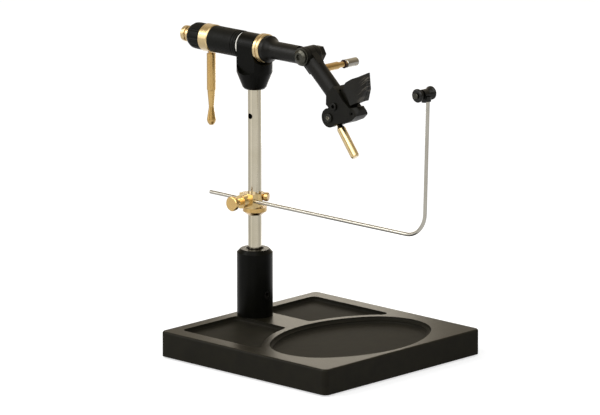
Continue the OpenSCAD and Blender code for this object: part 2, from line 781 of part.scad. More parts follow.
module nose_shaft() color("#222223") {
    flare_r = nose_len - nose_rim;
    difference() {
        union() {
            translate([nose_x, 0, axis_z]) rotate([0, 90, 0]) rotate_extrude() difference() {
                square([nose_d / 2, nose_len]);
                translate([shaft_r + flare_r, nose_len]) circle(r = flare_r);
            }
            bar_x(nose_x, 0, axis_z, shaft_d, pivot_x - shaft_short - nose_x);
            bar_y(pivot_x, -cheek_half, pivot_z, 2 * cheek_r, 2 * cheek_half);
        }
        bar_x(nose_x - cut, 0, axis_z, spindle_d, spindle_front + blind_gap - nose_x + cut);
        translate([pivot_x - cheek_r - slot_back, -slot_w / 2, axis_z - 2 * cheek_r])
            cube([4 * cheek_r, slot_w, 4 * cheek_r]);
        bar_y(pivot_x, -shaft_d, pivot_z, pin_d + 2 * turn_play, 2 * shaft_d);
    }
}

module knuckle_screw() color("#555552") {
    head_y = cheek_half + knuckle_washer_t;
    difference() {
        union() {
            bar_y(pivot_x, -head_y, pivot_z, pin_d, 2 * head_y + nut_h + nut_show);
            translate([pivot_x, -head_y, pivot_z]) rotate([90, 0, 0]) {
                cylinder(d = knuckle_head_d, h = knuckle_head_rim);
                translate([0, 0, knuckle_head_rim]) cylinder(d1 = knuckle_head_d,
                    d2 = knuckle_head_d * knuckle_head_share, h = knuckle_head_h - knuckle_head_rim);
            }
        }
        translate([pivot_x, -head_y - knuckle_head_rim, pivot_z]) rotate([90, 0, 0])
            hex_cut(knuckle_hex, knuckle_head_h);
    }
}

module knuckle_washers() color("#6a6a66") {
    for (y = [-cheek_half - knuckle_washer_t, cheek_half]) difference() {
        bar_y(pivot_x, y, pivot_z, knuckle_washer_d, knuckle_washer_t);
        bar_y(pivot_x, y - cut, pivot_z, pin_d, knuckle_washer_t + 2 * cut);
    }
}

module knuckle_nut() color("#4a4a48") {
    translate([pivot_x, cheek_half + knuckle_washer_t, pivot_z]) rotate([-90, 0, 0]) difference() {
        hex_cut(nut_af, nut_h);
        translate([0, 0, -cut]) cylinder(d = pin_d, h = nut_h + 2 * cut);
    }
}

// Arm, measured from the knuckle with x along the arm
arm_r = arm_d / 2;
arm_start = 5.8;
arm_end = 38;
tongue_w = 5.7;
tongue_r = 6.6;
tongue_len = 11.4;
tongue_share = 0.96;
spigot_d = 8;
spigot_len = 1.6;
spigot_u = 11.3;
cam_s = 45.38;
cam_n = -12.29;

// Material clip at the side of the arm
clip_s = 12.9;
clip_d = 5.5;
clip_neck_d = 4.2;
clip_tube_d = 6;
clip_screw_d = 3;
clip_screw_in = 2;
clip_root_share = 0.497;
clip_ring_share = 0.668;
clip_tube_share = 0.712;
clip_neck_share = 0.86;
clip_ring_r = 0.5;
clip_seat = 0.3;
clip_bevel = 0.4;
clip_slit_w = 0.8;
clip_slit_len = 4;

module arm() color("#2c2c2e") {
    difference() {
        at_pivot() union() {
            bar_y(0, -tongue_w / 2, 0, 2 * tongue_r, tongue_w);
            translate([0, -tongue_w / 2, -tongue_r])
                cube([tongue_len, tongue_w, 2 * tongue_r * tongue_share]);
            bar_x(arm_start, 0, 0, arm_d, arm_end - arm_start);
        }
        at_pivot() for (b = [0, 1]) mirror([0, b, 0])
            bar_y(0, tongue_w / 2, 0, 2 * (cheek_r + face_gap), arm_d);
        at_pivot() bar_y(0, -tongue_w, 0, pin_d + 2 * turn_play, 2 * tongue_w);
        at_pivot() bar_y(clip_s, 0, 0, clip_screw_d, arm_d);
        at_cam() translate([-arm_d, -arm_d, frame_top - 2 * arm_d]) cube([4 * arm_d, 2 * arm_d, 2 * arm_d]);
    }
    at_cam() upright(spigot_u, 0, frame_top - spigot_len, spigot_d, spigot_len + cut);
}

module clip_post() color("#c9a24a") {
    at_pivot() {
        bar_y(clip_s, clip_screw_in, 0, clip_screw_d, arm_r - clip_screw_in + cut);
        bar_y(clip_s, arm_r - clip_seat, 0, clip_d, clip_len * clip_root_share - arm_r + clip_seat);
        bar_y(clip_s, arm_r, 0, clip_neck_d, clip_len * clip_neck_share - arm_r);
    }
}

module clip_o_ring() color("#2a1512") {
    at_pivot() translate([clip_s, clip_len * clip_ring_share, 0]) rotate([-90, 0, 0])
        rotate_extrude() translate([clip_neck_d / 2 + clip_ring_r, 0]) circle(r = clip_ring_r);
}

module clip_sleeve() color("#b9b7b0") {
    start = clip_len * clip_tube_share;
    deep = clip_len * clip_neck_share + clip_seat;
    at_pivot() difference() {
        translate([clip_s, start, 0]) rotate([-90, 0, 0]) puck(clip_tube_d, clip_len - start, clip_bevel);
        bar_y(clip_s, start - cut, 0, clip_neck_d, deep - start + cut);
        translate([clip_s - clip_tube_d, clip_len - clip_slit_len, -clip_slit_w / 2])
            cube([2 * clip_tube_d, clip_slit_len + cut, clip_slit_w]);
    }
}

// Frame of the jaws, measured from the cam pin with x along the jaws, in shares of its length
frame_len = 20;
frame_half_w = 6.3;
frame_slot = 3.9;
frame_top_share = 0.68;
frame_top = frame_len * frame_top_share;
frame_shares = [[0.24, 0.285], [0.21, 0.42], [0.475, frame_top_share], [0.91, frame_top_share],
    [0.98, 0.51], [0.955, 0.05], [1.03, -0.37], [0.505, -0.555], [0.13, -0.37], [0.02, -0.2],
    [0.02, 0.2]];
limb_shares = [[0.4, -0.3], [0.92, -0.26], [1.24, -0.46], [1.245, -0.6], [1.075, -0.71],
    [0.8, -0.71], [0.45, -0.58]];
limb_end_share = 0.96;
ear_r = 6.8;
slot_low = 5.5;
slot_roof = 3.9;
slot_top = frame_top - slot_roof;
slot_start = 8.6;
cam_slot_end = 5.9;
cam_slot_top = 7.2;
frame_screw_d = 3.4;
frame_screw_u = 9.6;
frame_screw_w = 2.9;
frame_head_d = 5.4;
frame_head_t = 1.3;
frame_head_bevel = 0.3;
frame_hex = 2.6;
frame_hex_depth = 1.7;
adjust_d = 3.4;
adjust_u = 19.5;
adjust_w = -10.5;
adjust_sink = 0.3;
adjust_hex = 1.9;
adjust_hex_depth = 2;
fulcrum_u = 14.5;
fulcrum_d = 2.4;
fulcrum_low = 11;
fulcrum_cover = 0.6;
fulcrum_top = frame_top - spigot_len - fulcrum_cover;
fulcrum_gap = 0.2;

// Jaws, in shares of their reach
jaw_out_w = 4.9;
jaw_in_w = 3.3;
jaw_taper_u = 30;
jaw_tip_t = 0.9;
jaw_tail_turn = 8;
jaw_tail_u = 13.5;
part_gap = 0.16;
plate_shares = [[0.446, -0.105], [0.575, -0.147], [0.627, -0.175], [0.821, -0.099], [1, 0.066],
    [1, 0.076], [0.837, 0.128], [0.722, 0.175], [0.615, 0.196], [0.581, 0.194], [0.543, 0.168]];
body_shares = [[0.19, 0.075], [0.19, -0.075], [0.3, -0.104], [0.446, -0.105], [0.821, -0.099],
    [1, 0.066], [1, 0.076], [0.837, 0.128], [0.543, 0.168], [0.47, 0.183], [0.28, 0.18], [0.23, 0.1]];

// Cam, push rod and lever
cam_r = 5;
cam_w = 5.4;
cam_offset = 0.5;
cam_pin_d = 4;
cam_head_d = 6.6;
cam_head_t = 1.4;
cam_head_bevel = 0.4;
cam_hex = 2.5;
cam_hex_depth = 1.8;
cam_screw_short = 0.2;
cam_slot = cam_w / 2 + face_gap;
rod_d = 3.6;
rod_end = 8.4;
rod_nose = 3;
rod_nose_share = 0.4;
rod_room = 1;
guide_start = 5;
guide_len = 4;
lever_lean = 7;
lever_pin_d = 3;
lever_pin_start = 3.4;
lever_neck_d = 3.6;
lever_neck_end = 7.3;
lever_cone_end = 10;
lever_seat = 0.01;
lever_crown_h = 1.2;
lever_crown_share = 0.77;

module side_shape(start, end) rotate([90, 0, 0]) translate([0, 0, start])
    linear_extrude(height = end - start) children();

module jaw_frame() color("#202021") {
    reach = frame_len * limb_end_share;
    at_cam() difference() {
        union() {
            side_shape(-frame_half_w, frame_half_w) union() {
                polygon(frame_len * frame_shares);
                circle(r = ear_r);
            }
            intersection() {
                side_shape(-frame_half_w, frame_half_w) polygon(frame_len * limb_shares);
                translate([0, 0, -frame_len]) linear_extrude(height = frame_len) union() {
                    translate([0, -frame_half_w]) square([reach, 2 * frame_half_w]);
                    translate([reach, 0]) circle(r = frame_half_w);
                }
            }
        }
        translate([-2 * ear_r, -cam_slot, -frame_len])
            cube([2 * ear_r + cam_slot_end, 2 * cam_slot, frame_len + cam_slot_top]);
        translate([slot_start, -frame_slot, -slot_low])
            cube([frame_len, 2 * frame_slot, slot_low + slot_top]);
        bar_x(guide_start, 0, 0, rod_d + 2 * slide_play, guide_len);
        bar_y(0, -frame_len, 0, cam_pin_d, 2 * frame_len);
        upright(fulcrum_u, 0, -fulcrum_low - fulcrum_gap, fulcrum_d,
            fulcrum_low + fulcrum_top + 2 * fulcrum_gap);
        bar_y(frame_screw_u, -frame_len, frame_screw_w, frame_screw_d, 2 * frame_len);
        bar_y(adjust_u, -frame_len, adjust_w, adjust_d, 2 * frame_len);
    }
}

module frame_screws() color("#6f6f6a") {
    at_cam() for (b = [0, 1]) mirror([0, b, 0]) translate([frame_screw_u, 0, frame_screw_w]) difference() {
        union() {
            bar_y(0, frame_slot + screw_gap, 0, frame_screw_d, frame_half_w - frame_slot);
            translate([0, frame_half_w, 0]) rotate([-90, 0, 0])
                puck(frame_head_d, frame_head_t, frame_head_bevel);
        }
        translate([0, frame_half_w + frame_head_t - frame_hex_depth, 0]) rotate([-90, 0, 0])
            hex_cut(frame_hex, frame_head_d);
    }
}

module adjust_screw() color("#7d6a50") {
    at_cam() translate([adjust_u, 0, adjust_w]) rotate([90, 0, 0]) difference() {
        translate([0, 0, -frame_half_w]) cylinder(d = adjust_d, h = 2 * frame_half_w - adjust_sink);
        translate([0, 0, frame_half_w - adjust_hex_depth]) hex_cut(adjust_hex, adjust_d);
    }
}

module fulcrum_pin() color("#8d8d88") {
    at_cam() upright(fulcrum_u, 0, -fulcrum_low, fulcrum_d, fulcrum_low + fulcrum_top);
}

// Jaw on the +Y side
module jaw_half() {
    slope = atan((jaw_out_w - jaw_tip_t) / (jaw_reach - jaw_taper_u));
    difference() {
        union() {
            side_shape(-jaw_in_w, -part_gap) polygon(jaw_reach * body_shares);
            side_shape(-jaw_out_w, -part_gap) polygon(jaw_reach * plate_shares);
        }
        // Outer face drawn in towards the tip
        translate([jaw_taper_u, jaw_out_w, 0]) rotate([0, 0, -slope])
            translate([0, 0, -jaw_reach]) cube([jaw_reach, jaw_reach, 2 * jaw_reach]);
        // Groove for the pin, and the tail opened for the push rod
        upright(fulcrum_u, 0, -jaw_reach, fulcrum_d + 2 * turn_play, 2 * jaw_reach);
        translate([jaw_tail_u, 0, -jaw_reach]) rotate([0, 0, 180 - jaw_tail_turn])
            cube([jaw_reach, jaw_reach, 2 * jaw_reach]);
        bar_x(0, 0, 0, rod_d + rod_room, fulcrum_u - fulcrum_d);
    }
}
module jaw_far() color("#242425") at_cam() jaw_half();
module jaw_near() color("#242425") at_cam() mirror([0, 1, 0]) jaw_half();

module push_rod() color("#9c9c98") {
    start = cam_r + cam_offset + face_gap;
    at_cam() {
        bar_x(start, 0, 0, rod_d, rod_end - start);
        translate([rod_end, 0, 0]) rotate([0, 90, 0])
            cylinder(d1 = rod_d, d2 = rod_d * rod_nose_share, h = rod_nose);
    }
}

module cam() color("#77756f") {
    at_cam() difference() {
        bar_y(cam_offset, -cam_w / 2, 0, 2 * cam_r, cam_w);
        bar_y(0, -cam_w, 0, cam_pin_d + 2 * turn_play, 2 * cam_w);
        rotate([0, lever_lean, 0])
            upright(0, 0, -2 * cam_r, lever_pin_d, 2 * cam_r - lever_pin_start + face_gap);
    }
}

module cam_screw() color("#8a8a84") {
    at_cam() difference() {
        union() {
            bar_y(0, -frame_half_w, 0, cam_pin_d, 2 * frame_half_w - cam_screw_short);
            translate([0, -frame_half_w, 0]) rotate([90, 0, 0]) puck(cam_head_d, cam_head_t, cam_head_bevel);
        }
        translate([0, -frame_half_w - cam_head_t + cam_hex_depth, 0]) rotate([90, 0, 0])
            hex_cut(cam_hex, cam_head_d);
    }
}

module cam_lever() color("#c9a24a") {
    crown = lever_len - lever_crown_h;
    at_cam() difference() {
        rotate([0, lever_lean + 180, 0]) {
            upright(0, 0, lever_pin_start, lever_pin_d, lever_neck_end - lever_pin_start);
            difference() {
                upright(0, 0, cam_r - face_gap, lever_neck_d, lever_neck_end - cam_r + face_gap);
                rotate([0, -lever_lean - 180, 0])
                    bar_y(cam_offset, -cam_w, 0, 2 * (cam_r + lever_seat), 2 * cam_w);
            }
            translate([0, 0, lever_neck_end])
                cylinder(d1 = lever_neck_d, d2 = lever_d, h = lever_cone_end - lever_neck_end);
            upright(0, 0, lever_cone_end, lever_d, crown - lever_cone_end);
            translate([0, 0, crown])
                cylinder(d1 = lever_d, d2 = lever_d * lever_crown_share, h = lever_crown_h);
        }
    }
}
base_tray();
base_pad();
base_bolt();
socket_post();
post_set_screw();
stem();
stop_collar();
collar_set_screw();
clamp_body();
clamp_lock_screw();
clamp_thumb_screw();
cradle_wire();
cradle_hub();
cradle_axle();
roller_near();
roller_far();
yoke();
yoke_set_screw();
yoke_bushes();
nylon_washer();
front_ring();
spindle();
rear_sleeve();
sleeve_set_screw();
crank_ring();
crank_handle();
drag_cap();
drag_springs();
drag_knob();
nose_shaft();
knuckle_screw();
knuckle_washers();
knuckle_nut();
arm();
clip_post();
clip_o_ring();
clip_sleeve();
jaw_frame();
frame_screws();
fulcrum_pin();
jaw_near();
jaw_far();
push_rod();
cam();
cam_screw();
cam_lever();
adjust_screw();
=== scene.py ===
import json
import math

import bmesh
import bpy
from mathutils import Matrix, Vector


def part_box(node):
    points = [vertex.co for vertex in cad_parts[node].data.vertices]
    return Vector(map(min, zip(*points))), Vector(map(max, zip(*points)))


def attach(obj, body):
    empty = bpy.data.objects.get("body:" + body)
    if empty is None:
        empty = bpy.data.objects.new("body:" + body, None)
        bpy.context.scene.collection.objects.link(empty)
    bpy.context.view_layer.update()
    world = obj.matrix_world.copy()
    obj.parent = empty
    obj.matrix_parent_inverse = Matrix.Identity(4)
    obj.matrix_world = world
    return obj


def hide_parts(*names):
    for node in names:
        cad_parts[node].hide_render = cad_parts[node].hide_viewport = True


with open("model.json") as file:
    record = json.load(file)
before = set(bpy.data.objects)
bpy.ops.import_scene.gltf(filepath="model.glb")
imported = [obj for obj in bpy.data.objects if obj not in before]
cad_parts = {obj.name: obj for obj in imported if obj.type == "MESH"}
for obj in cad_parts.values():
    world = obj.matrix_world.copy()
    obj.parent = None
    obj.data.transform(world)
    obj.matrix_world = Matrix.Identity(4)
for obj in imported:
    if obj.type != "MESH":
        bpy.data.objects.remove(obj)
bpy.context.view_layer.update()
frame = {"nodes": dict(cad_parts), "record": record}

MM = 0.001
NODES = frame["nodes"]
RECORD = frame["record"]
BODY_OF = {node: body
           for body, names in RECORD["behaviour"]["bodies"].items()
           for node in names}
JOINT_AT = {joint["name"]: joint["pos_m"] for joint in RECORD["behaviour"]["joints"]}
STEM_AT = JOINT_AT["head_swivel"]
HEAD_AT = JOINT_AT["rotary_turn"]
CAM_AT = JOINT_AT["cam_lever_turn"]

# Long lens, a little above the tray and turned to its near corner
camera_data = bpy.data.cameras.new("long_lens")
camera_data.lens = 360.0
camera_data.sensor_width = 36.0
camera_data.sensor_fit = "HORIZONTAL"
camera_data.clip_start = 0.1
camera_data.clip_end = 60.0
camera = bpy.data.objects.new("camera", camera_data)
camera.location = (2.78350, -2.96524, 1.06302)
turn = math.radians(43.391)
pitch = math.radians(13.231)
camera.rotation_euler = (math.radians(90) - pitch, 0.0, turn)
bpy.context.scene.collection.objects.link(camera)
bpy.context.scene.camera = camera
bpy.context.scene.view_settings.view_transform = "Standard"

# Materials. Real grit and tool marks are finer than a picture of the whole vise can show, so
# they are drawn as coarse as they need to be to show. These are the sizes of the patches of
# shade and of sheen on coated pieces, and of shade on bare metal.
SHADE_PATCH = 9.0
SHEEN_PATCH = 4.0
BARE_PATCH = 14.0
LACQUER_ROUGHNESS = 0.16


def linear(code):
    """An sRGB hex code as the linear colour that a shader takes."""
    parts = [int(code[i:i + 2], 16) / 255 for i in (1, 3, 5)]
    return [c / 12.92 if c <= 0.04045 else ((c + 0.055) / 1.055) ** 2.4 for c in parts] + [1.0]


def add(tree, kind, inputs=None, **settings):
    """Adds one node, sets it, and fills its inputs with values or other nodes' outputs."""
    node = tree.nodes.new(kind)
    for name, value in settings.items():
        setattr(node, name, value)
    for name, value in (inputs or {}).items():
        if isinstance(value, bpy.types.NodeSocket):
            tree.links.new(value, node.inputs[name])
        else:
            node.inputs[name].default_value = value
    return node


def start(name, metallic, roughness, colour):
    """A bare material: its tree, its shader and the object's coordinates in metres."""
    material = bpy.data.materials.new(name)
    material.use_nodes = True
    tree = material.node_tree
    shader = tree.nodes["Principled BSDF"]
    shader.inputs["Metallic"].default_value = metallic
    shader.inputs["Roughness"].default_value = roughness
    shader.inputs["Base Color"].default_value = linear(colour)
    place = add(tree, "ShaderNodeTexCoord").outputs["Object"]
    return material, tree, shader, place


def vary(tree, place, size, low, high, detail=3.0, stretch=(1, 1, 1)):
    """Soft patches of about size mm, given as a value between low and high."""
    scaled = add(tree, "ShaderNodeMapping",
                 {"Vector": place, "Scale": [share / (size * MM) for share in stretch]})
    noise = add(tree, "ShaderNodeTexNoise",
                {"Vector": scaled.outputs[0], "Scale": 1.0, "Detail": detail})
    spread = add(tree, "ShaderNodeMapRange", {"Value": noise.outputs[0], "From Min": 0.3,
                                              "From Max": 0.7, "To Min": low, "To Max": high})
    return spread.outputs[0]


def tint(tree, share, dark, light):
    """A colour between two hex codes by a share."""
    ends = add(tree, "ShaderNodeMix", {"Factor": share}, data_type="RGBA")
    ends.inputs[6].default_value = linear(dark)
    ends.inputs[7].default_value = linear(light)
    return ends.outputs[2]


def relief(tree, shader, height, depth):
    """Bumps the shader by a height map whose full range is depth mm."""
    bump = add(tree, "ShaderNodeBump", {"Height": height, "Distance": depth * MM,
                                        "Strength": 1.0})
    tree.links.new(bump.outputs[0], shader.inputs["Normal"])


def coated(name, dark, light, grit, depth, rough_low, rough_high, gloss):
    """A coated, blackened or moulded surface: patches of slightly other shade and sheen, and
    a fine grit. A pattern whose depth is zero or whose ends are equal is left out."""
    material, tree, shader, place = start(name, 0.0, rough_low, dark)
    shader.inputs["Specular IOR Level"].default_value = gloss
    shade = tint(tree, vary(tree, place, SHADE_PATCH, 0.0, 1.0), dark, light)
    tree.links.new(shade, shader.inputs["Base Color"])
    if rough_low < rough_high:
        sheen = vary(tree, place, SHEEN_PATCH, rough_low, rough_high)
        tree.links.new(sheen, shader.inputs["Roughness"])
    if depth:
        relief(tree, shader, vary(tree, place, grit, 0.0, 1.0, 2.0), depth)
    return material


def bare(name, dark, light, rough_low, rough_high, stretch, line, depth, lacquer=0.0):
    """Bare metal with tool marks: lines of line mm, drawn out where the stretch is small."""
    material, tree, shader, place = start(name, 1.0, rough_low, light)
    shader.inputs["Coat Weight"].default_value = lacquer
    shader.inputs["Coat Roughness"].default_value = LACQUER_ROUGHNESS
    shade = tint(tree, vary(tree, place, BARE_PATCH, 0.0, 1.0), dark, light)
    tree.links.new(shade, shader.inputs["Base Color"])
    sheen = vary(tree, place, line * 2, rough_low, rough_high, 2.0, stretch)
    tree.links.new(sheen, shader.inputs["Roughness"])
    relief(tree, shader, vary(tree, place, line, 0.0, 1.0, 2.0, stretch), depth)
    return material


def overlay(material, share, code):
    """Lays another colour over a material's own by a share."""
    tree = material.node_tree
    colour = tree.nodes["Principled BSDF"].inputs["Base Color"]
    laid = add(tree, "ShaderNodeMix", {"Factor": share}, data_type="RGBA")
    tree.links.new(colour.links[0].from_socket, laid.inputs[6])
    laid.inputs[7].default_value = linear(code)
    tree.links.new(laid.outputs[2], colour)


def near_axis(material, centre, across, inner, outer):
    """One within inner mm of an axis and zero beyond outer mm. The axis goes through the
    centre, and across has a one for each direction that it crosses."""
    tree = material.node_tree
    place = add(tree, "ShaderNodeTexCoord").outputs["Object"]
    offset = [-at * share for at, share in zip(centre, across)]
    centred = add(tree, "ShaderNodeMapping",
                  {"Vector": place, "Scale": across, "Location": offset})
    radius = add(tree, "ShaderNodeVectorMath", {0: centred.outputs[0]}, operation="LENGTH")
    return add(tree, "ShaderNodeMapRange",
               {"Value": radius.outputs["Value"], "From Min": inner * MM,
                "From Max": outer * MM, "To Min": 1.0, "To Max": 0.0}).outputs[0]


def powder_painted():
    """Powder paint on the cast base: near black, with a fine grain and a grey sheen at a flat
    glance on the rims. Below them no hand rubs it, so it stays matt."""
    paint = coated("powder_painted_cast_iron", "#110f08", "#17150c",
                   0.6, 0.012, 0.38, 0.38, 0.14)
    tree = paint.node_tree
    place = add(tree, "ShaderNodeTexCoord").outputs["Object"]
    height = add(tree, "ShaderNodeSeparateXYZ", {"Vector": place})
    matt = add(tree, "ShaderNodeMapRange",
               {"Value": height.outputs["Z"], "From Min": 17.6 * MM, "From Max": 18.9 * MM,
                "To Min": 0.74, "To Max": 0.38})
    tree.links.new(matt.outputs[0], tree.nodes["Principled BSDF"].inputs["Roughness"])
    return paint


def ground_plate():
    """Tool steel of the jaw plates: ground along their length, 44 degrees up, with lines
    0.7 mm apart and 9 mm long, and painted highlights of pale glints along the lines over the
    last 15 mm before the blunt front."""
    plate = coated("ground_tool_steel", "#0d0c08", "#15140e", 0.5, 0.0, 0.26, 0.38, 0.20)
    tree = plate.node_tree
    place = add(tree, "ShaderNodeTexCoord").outputs["Object"]
    along = add(tree, "ShaderNodeMapping",
                {"Vector": place, "Rotation": (0.0, math.radians(-44.0), 0.0),
                 "Scale": (9 * MM, 9 * MM, 0.7 * MM)}, vector_type="TEXTURE")
    lines = add(tree, "ShaderNodeTexNoise",
                {"Vector": along.outputs[0], "Scale": 1.0, "Detail": 3.0})
    glint_lines = add(tree, "ShaderNodeMapRange",
               {"Value": lines.outputs[0], "From Min": 0.5, "From Max": 0.62})
    reach = add(tree, "ShaderNodeSeparateXYZ", {"Vector": place})
    front = add(tree, "ShaderNodeMapRange",
                {"Value": reach.outputs["X"], "From Min": 38 * MM, "From Max": 53 * MM})
    pale = add(tree, "ShaderNodeMath", {0: glint_lines.outputs[0], 1: front.outputs[0]},
               operation="MULTIPLY")
    # Painted highlight: pale glints along the ground lines near the blunt front
    overlay(plate, pale.outputs[0], "#7d776c")
    relief(tree, tree.nodes["Principled BSDF"], lines.outputs[0], 0.03)
    return plate


powder_paint = powder_painted()
jaw_plate = ground_plate()
# Black anodised aluminium of post and yoke: deep black with a soft sheen
black_anodised = coated("black_anodised_aluminium", "#040402", "#080804",
                        0.35, 0.006, 0.28, 0.36, 0.08)
# Black oxide on the turned shaft, the arm and the small screws: a shade greyer, a broader sheen
black_oxide = coated("black_oxide_steel", "#0c0b07", "#12110c", 0.4, 0.012, 0.34, 0.44, 0.16)
# Blackened tool steel of the jaw frame: faintly oiled, so its edges glint
jaw_steel = coated("blackened_tool_steel", "#0c0b07", "#13120c", 0.5, 0.012, 0.32, 0.42, 0.12)
# Screw of the cam pin: blackened, with a painted highlight of pale steel round its socket
screw_with_painted_glint = coated("blackened_screw_steel", "#12120c", "#1c1b15",
                    0.5, 0.008, 0.28, 0.38, 0.2)
overlay(screw_with_painted_glint, near_axis(screw_with_painted_glint, CAM_AT, (1, 0, 1), 1.0, 1.5), "#e0dac8")
# Bead blasted and anodised aluminium of the rear drum and the drag cap: black and matt
blasted = coated("bead_blasted_anodised_aluminium", "#0b0b08", "#11110e",
                 0.35, 0.01, 0.44, 0.54, 0.09)
# Moulded black acetal of the cradle's rollers and hub: smooth, with a narrow soft gloss
moulded_black = coated("moulded_black_acetal", "#0c0c09", "#131310",
                       0.6, 0.008, 0.24, 0.32, 0.25)
# Rubber sheet under the base: dull
soft_rubber = coated("black_rubber_sheet", "#101010", "#161615", 0.7, 0.02, 0.7, 0.8, 0.3)
# Nitrile ring on the clip post: dark red brown, dull
ring_rubber = coated("nitrile_o_ring", "#2a1512", "#351c17", 0.7, 0.01, 0.55, 0.65, 0.4)
# White nylon of the washer: pale, slightly waxy
white_nylon = coated("white_nylon", "#e6e3d8", "#efece3", 0.8, 0.005, 0.4, 0.5, 0.4)

# Turned, polished and lacquered brass of the head's rings and knob, its fine turning rings
# one behind the other along the rotary axis: pale and warm
turned_brass = bare("turned_brass", "#cbb07c", "#d6bd8a",
                    0.27, 0.29, (1, 0.02, 0.02), 0.9, 0.0002, 1.0)
# The same brass, polished by the thumb, on the cam lever
lever_brass = bare("polished_brass", "#cdb27c", "#d8c08c",
                   0.24, 0.26, (0.1, 0.1, 0.1), 0.9, 0.0002, 1.0)
# The same brass, painted darker as painted shade on the upright handle, collar and clip
# # post, its rings one above the other
shaded_upright_brass = bare("turned_brass_shaded_upright", "#bd9650", "#c8a561",
                     0.27, 0.28, (0.02, 0.02, 1), 1.4, 0.0001, 1.0)
# The clamp's block, milled from the same bar: painted paler as a lit copy of the brass, for the
# light on its flat faces
lit_milled_brass = bare("lit_milled_brass", "#d0b272", "#dcbf84",
                    0.27, 0.29, (1, 0.02, 0.02), 0.9, 0.0002, 1.0)
# The same brass, a little deeper in colour, on the clamp's two screws, which lie across
screw_brass = bare("turned_brass_across", "#d0aa62", "#dab672",
                   0.26, 0.28, (0.02, 1, 0.02), 1.0, 0.0002, 1.0)
# Ground stainless bar of the stem: pale and warm, with faint lines round the bar
ground_bar = bare("ground_stainless_bar", "#b8b09b", "#c0b8a5",
                  0.11, 0.14, (0.02, 0.02, 0.4), 0.8, 0.0003)
# Painted shade: the inside of its cross hole is painted near black
overlay(ground_bar, near_axis(ground_bar, STEM_AT, (1, 1, 0), 4.3, 4.5), "#15130f")
# Drawn stainless wire and sleeve: the same metal, greyer, with broader lights
drawn_wire = bare("drawn_stainless_wire", "#a5a197", "#afaba1",
                  0.16, 0.20, (0.05, 0.3, 0.05), 0.8, 0.0004)
# Plain machined steel of the spindle, the springs, the pin and the rod: grey and fine grained
plain_steel = bare("machined_steel", "#8d8b84", "#a3a199", 0.26, 0.36, (1, 1, 1), 0.5, 0.003)
# Darkened steel of the knuckle's screw and washers, the axle and the cam: oily and dim
dull_steel = bare("oiled_dark_steel", "#3b3a34", "#4b4a43", 0.26, 0.36, (1, 1, 1), 0.5, 0.003)
# Sintered bronze of the yoke bushes: brown, with the dull grain of pressed powder
bronze = bare("sintered_bronze", "#8a6a3a", "#a07e48", 0.4, 0.5, (1, 1, 1), 0.4, 0.005)

# Each CAD node's finish, and how many millimetres of its sharp edges are broken
DRESS = {
    "base_pad": (soft_rubber, 0.0),
    "base_bolt": (black_oxide, 0.0),
    "socket_post": (black_anodised, 0.2),
    "post_set_screw": (black_oxide, 0.0),
    "stem": (ground_bar, 0.0),
    "stop_collar": (shaded_upright_brass, 0.2),
    "collar_set_screw": (black_oxide, 0.0),
    "clamp_body": (lit_milled_brass, 0.25),
    "clamp_lock_screw": (screw_brass, 0.1),
    "clamp_thumb_screw": (screw_brass, 0.1),
    "cradle_wire": (drawn_wire, 0.0),
    "cradle_hub": (moulded_black, 0.2),
    "cradle_axle": (dull_steel, 0.0),
    "roller_near": (moulded_black, 0.15),
    "roller_far": (moulded_black, 0.15),
    "yoke": (black_anodised, 0.3),
    "yoke_set_screw": (black_oxide, 0.0),
    "yoke_bushes": (bronze, 0.0),
    "nylon_washer": (white_nylon, 0.15),
    "front_ring": (turned_brass, 0.1),
    "spindle": (plain_steel, 0.0),
    "rear_sleeve": (blasted, 0.0),
    "sleeve_set_screw": (black_oxide, 0.0),
    "crank_ring": (turned_brass, 0.1),
    "crank_handle": (shaded_upright_brass, 0.15),
    "drag_cap": (blasted, 0.2),
    "drag_springs": (plain_steel, 0.0),
    "drag_knob": (turned_brass, 0.1),
    "nose_shaft": (black_oxide, 0.2),
    "knuckle_screw": (dull_steel, 0.1),
    "knuckle_washers": (dull_steel, 0.1),
    "knuckle_nut": (black_oxide, 0.1),
    "arm": (black_oxide, 0.2),
    "clip_post": (shaded_upright_brass, 0.1),
    "clip_o_ring": (ring_rubber, 0.0),
    "clip_sleeve": (drawn_wire, 0.1),
    "jaw_frame": (jaw_steel, 0.2),
    "frame_screws": (black_oxide, 0.1),
    "fulcrum_pin": (plain_steel, 0.0),
    "jaw_near": (jaw_plate, 0.15),
    "jaw_far": (jaw_plate, 0.15),
    "push_rod": (plain_steel, 0.0),
    "cam": (dull_steel, 0.0),
    # The pale socket of the cam screw is a painted highlight
    "cam_screw": (screw_with_painted_glint, 0.1),
    "cam_lever": (lever_brass, 0.15),
    "adjust_screw": (black_oxide, 0.1),
}

# Faces that meet at more than the first angle keep a sharp line in their shading, and edges
# of more than the second are broken
SHARP_LINE = math.radians(35)
SHARP_EDGE = math.radians(28)
# How near two points or heights are to count as the same
SAME_POINT = 0.002 * MM
SAME_HEIGHT = 0.01 * MM

# The bell of the nose shaft: its length, its rim's radius, the shaft's radius, and how far
# its rim is drawn in
BELL_LENGTH = 9.3 * MM
BELL_RADIUS = 10.0 * MM
SHAFT_RADIUS = 6.36 * MM
DRAWN_IN = 0.5 * MM

# The cast tray: the height of its rims, the height that all its floors lie above, how far
# out its wells reach, and the widths of the soft curves at their floors and rims
RIM_HEIGHT = 19.0 * MM
LOWEST_FLOOR = 14.0 * MM
WELL_REACH = 78.9 * MM
FLOOR_CURVE = 1.6 * MM
RIM_CURVE = 0.8 * MM


def shaded(mesh):
    """Smooth faces, with a sharp line only where two faces meet at a clear angle."""
    for face in mesh.faces:
        face.smooth = True
    for edge in mesh.edges:
        edge.smooth = len(edge.link_faces) != 2 or edge.calc_face_angle(0) < SHARP_LINE


